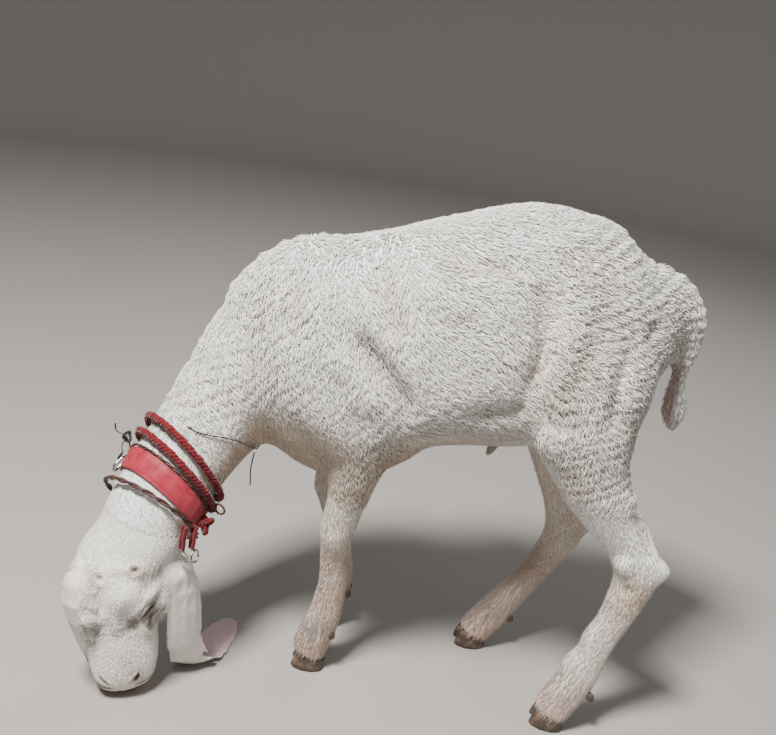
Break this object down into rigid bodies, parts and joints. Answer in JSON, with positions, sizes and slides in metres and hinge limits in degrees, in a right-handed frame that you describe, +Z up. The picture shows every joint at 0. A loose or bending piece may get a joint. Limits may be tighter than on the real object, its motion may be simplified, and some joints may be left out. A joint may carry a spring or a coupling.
{
  "type": "shorn sheep model",
  "caption": "Life-size still model of a shorn long-eared young sheep, standing with its lowered head turned aside and its muzzle on the ground, with ropes and a belt round its neck.",
  "frame": {"origin": "bottom centre of the bounding box, on the ground", "axes": "+Z up, -X towards the head end, -Y the sheep's left side"},
  "size_m": [0.7726, 0.3332, 0.7096],
  "materials": {
    "wool": "short crimped shorn wool, white with faint cream",
    "short_hair": "short smooth white hair",
    "horn": "dark brown hoof horn, dull",
    "eye": "wet dark brown eye",
    "red_rope": "dark red laid rope, worn",
    "pink_leather": "faded red-pink belt, stained",
    "brown_leather": "dark brown leather cord",
    "black_thread": "black thread",
    "steel": "dull plated steel"
  },
  "bodies": {
    "root": {"belt": "pink_leather", "buckle": "steel", "claw_fore_left_inner": "horn", "claw_fore_left_outer": "horn", "claw_fore_right_inner": "horn", "claw_fore_right_outer": "horn", "claw_hind_left_inner": "horn", "claw_hind_left_outer": "horn", "claw_hind_right_inner": "horn", "claw_hind_right_outer": "horn", "cord_lower": "brown_leather", "cord_on_belt": "brown_leather", "dewclaw_fore_left_inner": "horn", "dewclaw_fore_left_outer": "horn", "dewclaw_fore_right_inner": "horn", "dewclaw_fore_right_outer": "horn", "dewclaw_hind_left_inner": "horn", "dewclaw_hind_left_outer": "horn", "dewclaw_hind_right_inner": "horn", "dewclaw_hind_right_outer": "horn", "ear_left": "short_hair", "ear_right": "short_hair", "eye_left": "eye", "eye_right": "eye", "foreleg_lower_left": "short_hair", "foreleg_lower_right": "short_hair", "foreleg_upper_left": "wool", "foreleg_upper_right": "wool", "head": "short_hair", "hindleg_lower_left": "short_hair", "hindleg_lower_right": "short_hair", "hindleg_upper_left": "wool", "hindleg_upper_right": "wool", "knot_ribbon": "black_thread", "knot_throat": "red_rope", "loop_black": "brown_leather", "neck": "wool", "ring_back": "steel", "ring_front": "steel", "rope_lower": "red_rope", "rope_upper": "red_rope", "sheath": "short_hair", "strap_end_back": "red_rope", "strap_end_front": "red_rope", "tail": "wool", "thread": "black_thread", "thread_end": "black_thread", "trunk": "wool"}
  },
  "joints": []
}
